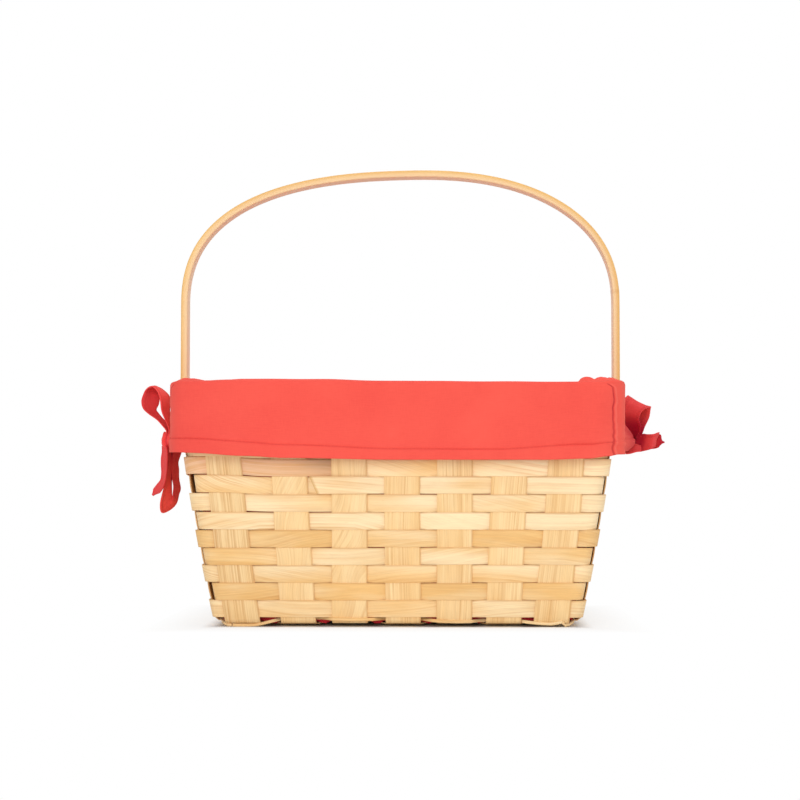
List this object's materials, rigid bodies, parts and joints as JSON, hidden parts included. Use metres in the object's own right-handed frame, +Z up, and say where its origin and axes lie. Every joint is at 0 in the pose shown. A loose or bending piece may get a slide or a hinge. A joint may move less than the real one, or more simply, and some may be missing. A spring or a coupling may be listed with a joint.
{
  "type": "chipwood basket",
  "caption": "Rectangular basket woven from flat wood splint, with a swinging bamboo arch handle and a plain red cotton liner folded over the rim and tied in bows at both ends",
  "frame": {"origin": "the middle of the footprint, on the surface that the basket stands on", "axes": "+X along the basket towards the right end in the picture, +Y to the back, +Z up"},
  "size_m": [0.4004, 0.2488, 0.339],
  "materials": {
    "stake_wood": "raw pale splint wood, fine straight grain",
    "weaver_wood": "raw pale splint wood, flat-sawn grain along the strip",
    "bamboo": "satin bamboo with eased edges",
    "red_cotton": "plain-weave cotton, matt",
    "steel": "plain steel"
  },
  "bodies": {
    "basket": {"cross_stake_1": "stake_wood", "cross_stake_2": "stake_wood", "cross_stake_3": "stake_wood", "cross_stake_4": "stake_wood", "cross_stake_5": "stake_wood", "cross_stake_6": "stake_wood", "cross_stake_7": "stake_wood", "length_stake_1": "stake_wood", "length_stake_2": "stake_wood", "length_stake_3": "stake_wood", "length_stake_4": "stake_wood", "length_stake_5": "stake_wood", "outer_rim_band": "stake_wood", "inner_rim_band": "stake_wood", "weaver_1": "weaver_wood", "weaver_2": "weaver_wood", "weaver_3": "weaver_wood", "weaver_4": "weaver_wood", "weaver_5": "weaver_wood", "weaver_6": "weaver_wood", "weaver_7": "weaver_wood", "weaver_8": "weaver_wood", "weaver_9": "weaver_wood", "weaver_10": "weaver_wood", "weaver_11": "weaver_wood", "weaver_12": "weaver_wood", "base_binder": "weaver_wood", "rim_nail_1": "steel", "rim_nail_2": "steel", "rim_nail_3": "steel", "rim_nail_4": "steel", "rim_nail_5": "steel", "rim_nail_6": "steel", "rim_nail_7": "steel", "rim_nail_8": "steel", "rim_nail_9": "steel", "rim_nail_10": "steel", "left_rivet": "steel", "right_rivet": "steel", "left_spacer_washer": "steel", "right_spacer_washer": "steel", "left_back_washer": "steel", "right_back_washer": "steel", "liner_bag": "red_cotton", "liner_front_flap": "red_cotton", "liner_back_flap": "red_cotton", "left_front_tie": "red_cotton", "left_back_tie": "red_cotton", "right_front_tie": "red_cotton", "right_back_tie": "red_cotton"},
    "handle": {"handle": "bamboo"}
  },
  "joints": [
    {"name": "handle_swing", "type": "hinge", "parent": "basket", "child": "handle", "pos_m": [0, 0, 0.163], "axis": [1, 0, 0], "range_deg": [-76, 76]}
  ]
}
